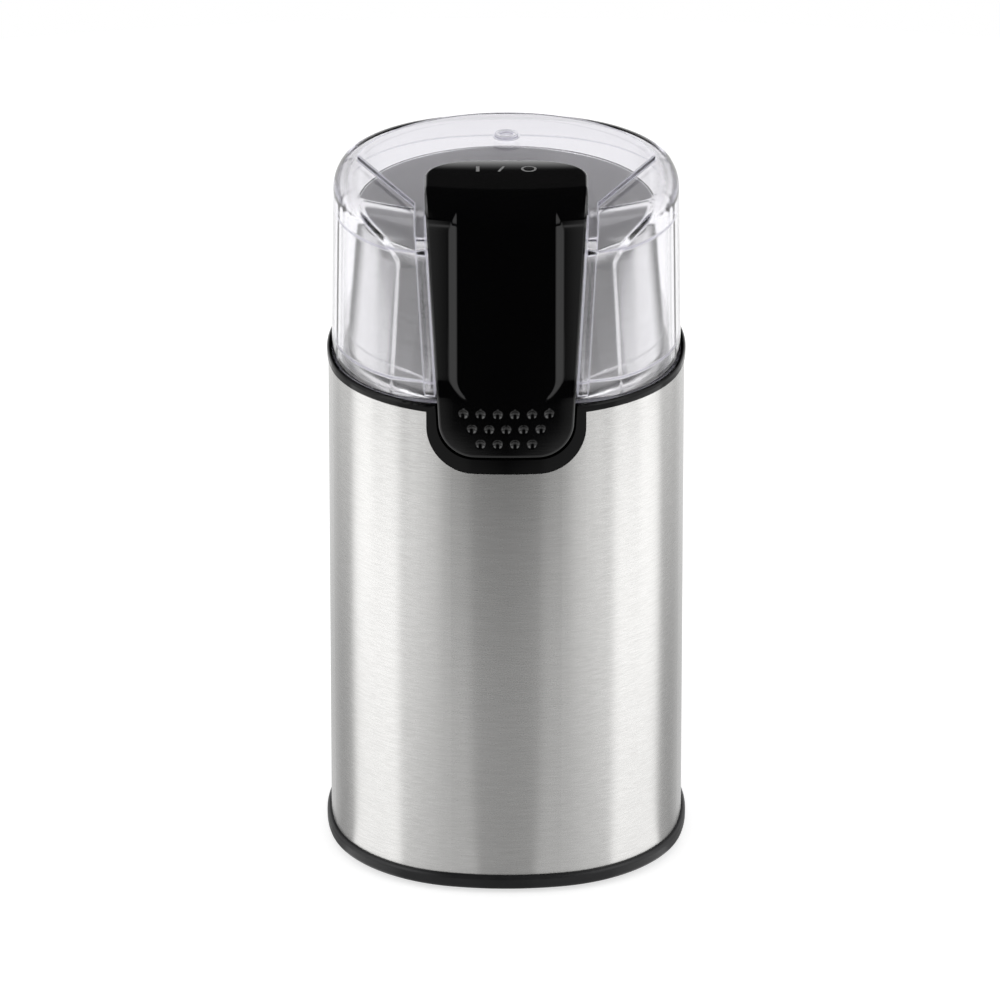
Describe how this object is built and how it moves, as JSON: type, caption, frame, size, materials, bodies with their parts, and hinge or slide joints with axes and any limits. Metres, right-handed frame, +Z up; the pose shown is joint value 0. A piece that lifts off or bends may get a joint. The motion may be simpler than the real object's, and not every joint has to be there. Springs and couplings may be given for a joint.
{
  "type": "electric coffee grinder",
  "caption": "Upright blade coffee grinder: brushed steel body, steel bowl under a clear lift-off lid, and a black press lever on the lid that starts the motor.",
  "frame": {"origin": "on the table under the middle of the machine", "axes": "+Z up along the motor shaft, -Y towards the user and the press lever, +X to the user's right"},
  "size_m": [0.0922, 0.0922, 0.1883],
  "materials": {
    "black_plastic": "fine satin moulding",
    "gloss_black": "polished black",
    "brushed_steel": "fine horizontal brushing",
    "bowl_steel": "drawn and polished",
    "blade_steel": "ground",
    "turned_steel": "turned",
    "screw_steel": "zinc plated",
    "clear_lid": "clear polished plastic",
    "rubber": "matte",
    "cast_frame": "as cast",
    "lamination": "stacked sheet",
    "copper_wire": "enamelled",
    "copper_bar": "turned",
    "bush_bronze": "sintered",
    "carbon": "pressed carbon",
    "white_plastic": "moulded",
    "switch_plastic": "moulded",
    "capacitor_plastic": "moulded"
  },
  "bodies": {
    "body": {"base_plate": "black_plastic", "rubber_feet": "rubber", "base_screws": "screw_steel", "inner_housing": "black_plastic", "steel_sleeve": "brushed_steel", "cord_gland": "black_plastic", "top_collar": "gloss_black", "collar_screws": "screw_steel", "grinding_bowl": "bowl_steel", "bowl_gasket": "rubber", "seal_carrier": "turned_steel", "carrier_nut": "turned_steel", "shaft_seal": "rubber", "microswitch": "switch_plastic", "switch_bracket": "black_plastic", "switch_screws": "screw_steel", "motor_upper_frame": "cast_frame", "motor_lower_frame": "cast_frame", "upper_bearing": "bush_bronze", "lower_bearing": "bush_bronze", "motor_tie_screws": "screw_steel", "motor_dampers": "rubber", "motor_mount_screws": "screw_steel", "stator_core": "lamination", "field_coil_left": "copper_wire", "field_coil_right": "copper_wire", "brush_holders": "bush_bronze", "carbon_brushes": "carbon", "brush_springs": "screw_steel", "suppression_capacitor": "capacitor_plastic", "rod_spring": "screw_steel"},
    "rotor": {"motor_shaft": "turned_steel", "armature_core": "lamination", "armature_windings": "copper_wire", "commutator": "copper_bar", "cooling_fan": "white_plastic", "blade_spacer": "turned_steel", "blade": "blade_steel", "blade_nut": "blade_steel"},
    "lid": {"lid": "clear_lid", "lever_pins": "turned_steel"},
    "lever": {"press_lever": "gloss_black"},
    "push_rod": {"push_rod": "white_plastic", "switch_button": "switch_plastic"}
  },
  "joints": [
    {"name": "lid_lift", "type": "slide", "parent": "body", "child": "lid", "axis": [0, 0, 1], "range_m": [0, 0.08]},
    {"name": "lever_press", "type": "hinge", "parent": "lid", "child": "lever", "pos_m": [0, -0.0408, 0.1746], "axis": [1, 0, 0], "range_deg": [0, 2.5], "stiffness_Nm_per_rad": 2, "springref_deg": -2.86},
    {"name": "rotor_spin", "type": "hinge", "parent": "body", "child": "rotor", "pos_m": [0, 0, 0.1], "axis": [0, 0, 1], "continuous": true},
    {"name": "rod_slide", "type": "slide", "parent": "body", "child": "push_rod", "axis": [0, 1, 0], "range_m": [0, 0.00233], "deforming": ["rod_spring"]}
  ],
  "couplings": [
    {"joint": "rod_slide", "follows": "lever_press", "m_per_rad": 0.0524}
  ]
}
